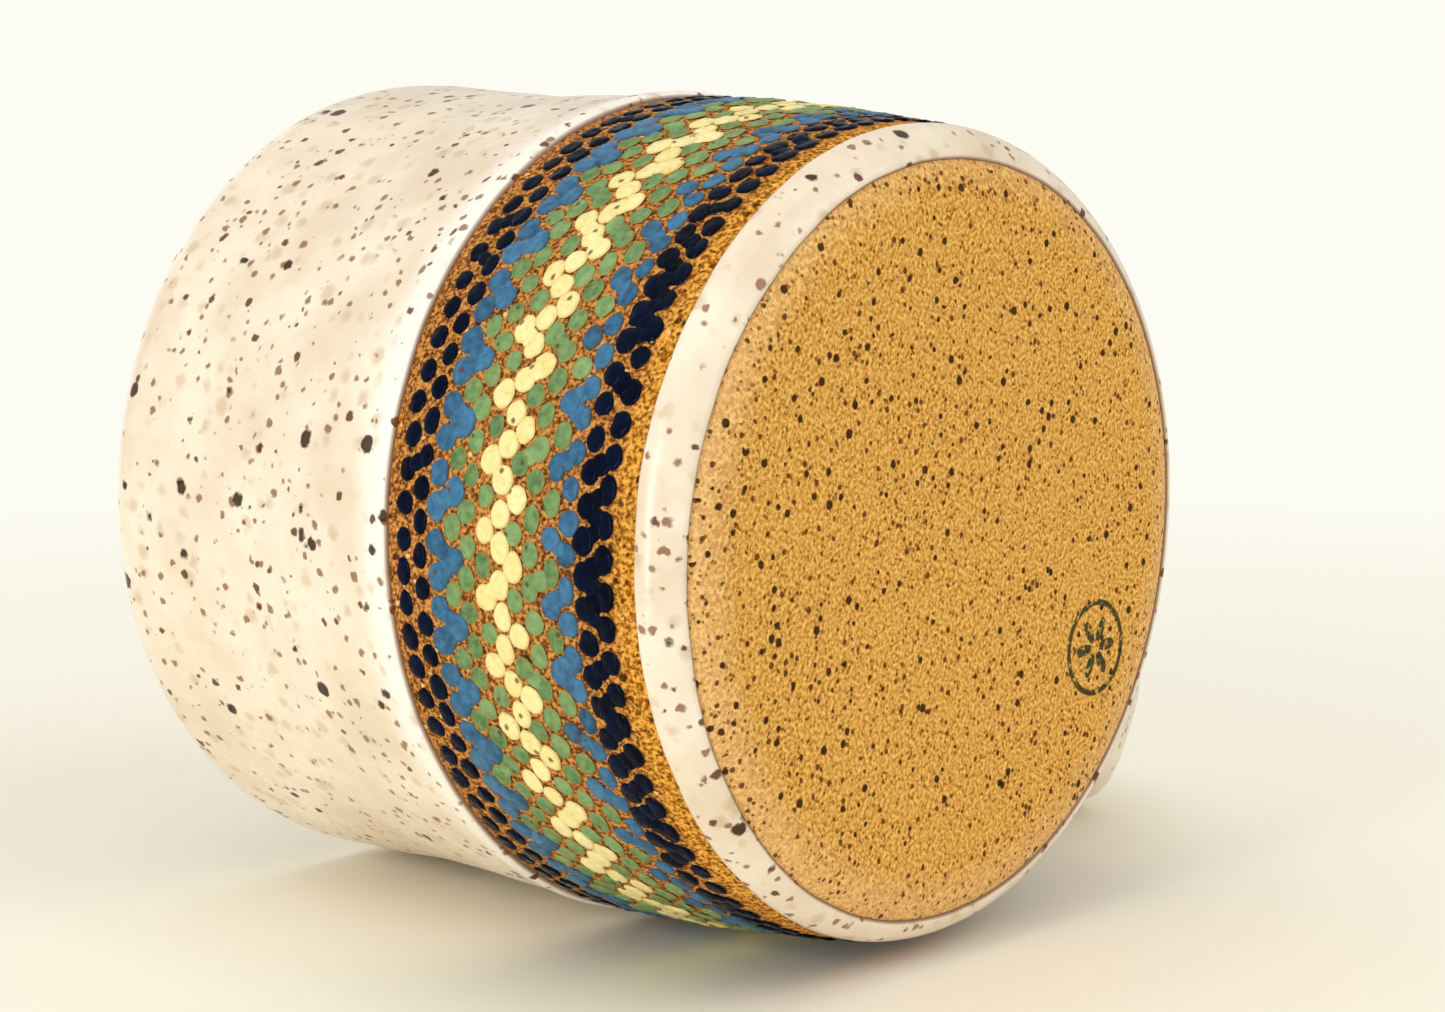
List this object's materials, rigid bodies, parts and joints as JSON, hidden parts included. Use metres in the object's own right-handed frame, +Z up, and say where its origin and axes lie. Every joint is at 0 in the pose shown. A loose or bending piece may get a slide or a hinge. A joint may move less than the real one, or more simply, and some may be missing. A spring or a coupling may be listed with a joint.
{
  "type": "stoneware mug",
  "caption": "Thrown stoneware drinking mug with a pulled strap handle, speckled cream glaze and a band of raised slip dots in zigzag rows.",
  "frame": {"origin": "centre of the foot's underside", "axes": "+Z up the mug's axis from foot to rim, +Y from the axis towards the handle, +X across the handle"},
  "size_m": [0.0912, 0.1285, 0.0828],
  "materials": {
    "clay_body": "bare toasted stoneware",
    "handle": "bare toasted stoneware",
    "handle_glaze": "satin cream glaze with iron specks",
    "upper_glaze": "satin cream glaze with iron specks",
    "liner_glaze": "satin cream glaze with iron specks",
    "foot_glaze_ring": "satin cream glaze with iron specks",
    "navy_dots_upper": "glossy navy slip",
    "blue_dots_upper": "glossy blue slip",
    "green_dots_upper": "glossy green slip",
    "yellow_dots": "satin pale yellow slip",
    "green_dots_lower": "glossy green slip",
    "blue_dots_lower": "glossy blue slip",
    "navy_dots_lower": "glossy navy slip"
  },
  "bodies": {
    "root": {"clay_body": "clay_body", "handle": "handle", "handle_glaze": "handle_glaze", "upper_glaze": "upper_glaze", "liner_glaze": "liner_glaze", "foot_glaze_ring": "foot_glaze_ring", "navy_dots_upper": "navy_dots_upper", "blue_dots_upper": "blue_dots_upper", "green_dots_upper": "green_dots_upper", "yellow_dots": "yellow_dots", "green_dots_lower": "green_dots_lower", "blue_dots_lower": "blue_dots_lower", "navy_dots_lower": "navy_dots_lower"}
  },
  "joints": []
}
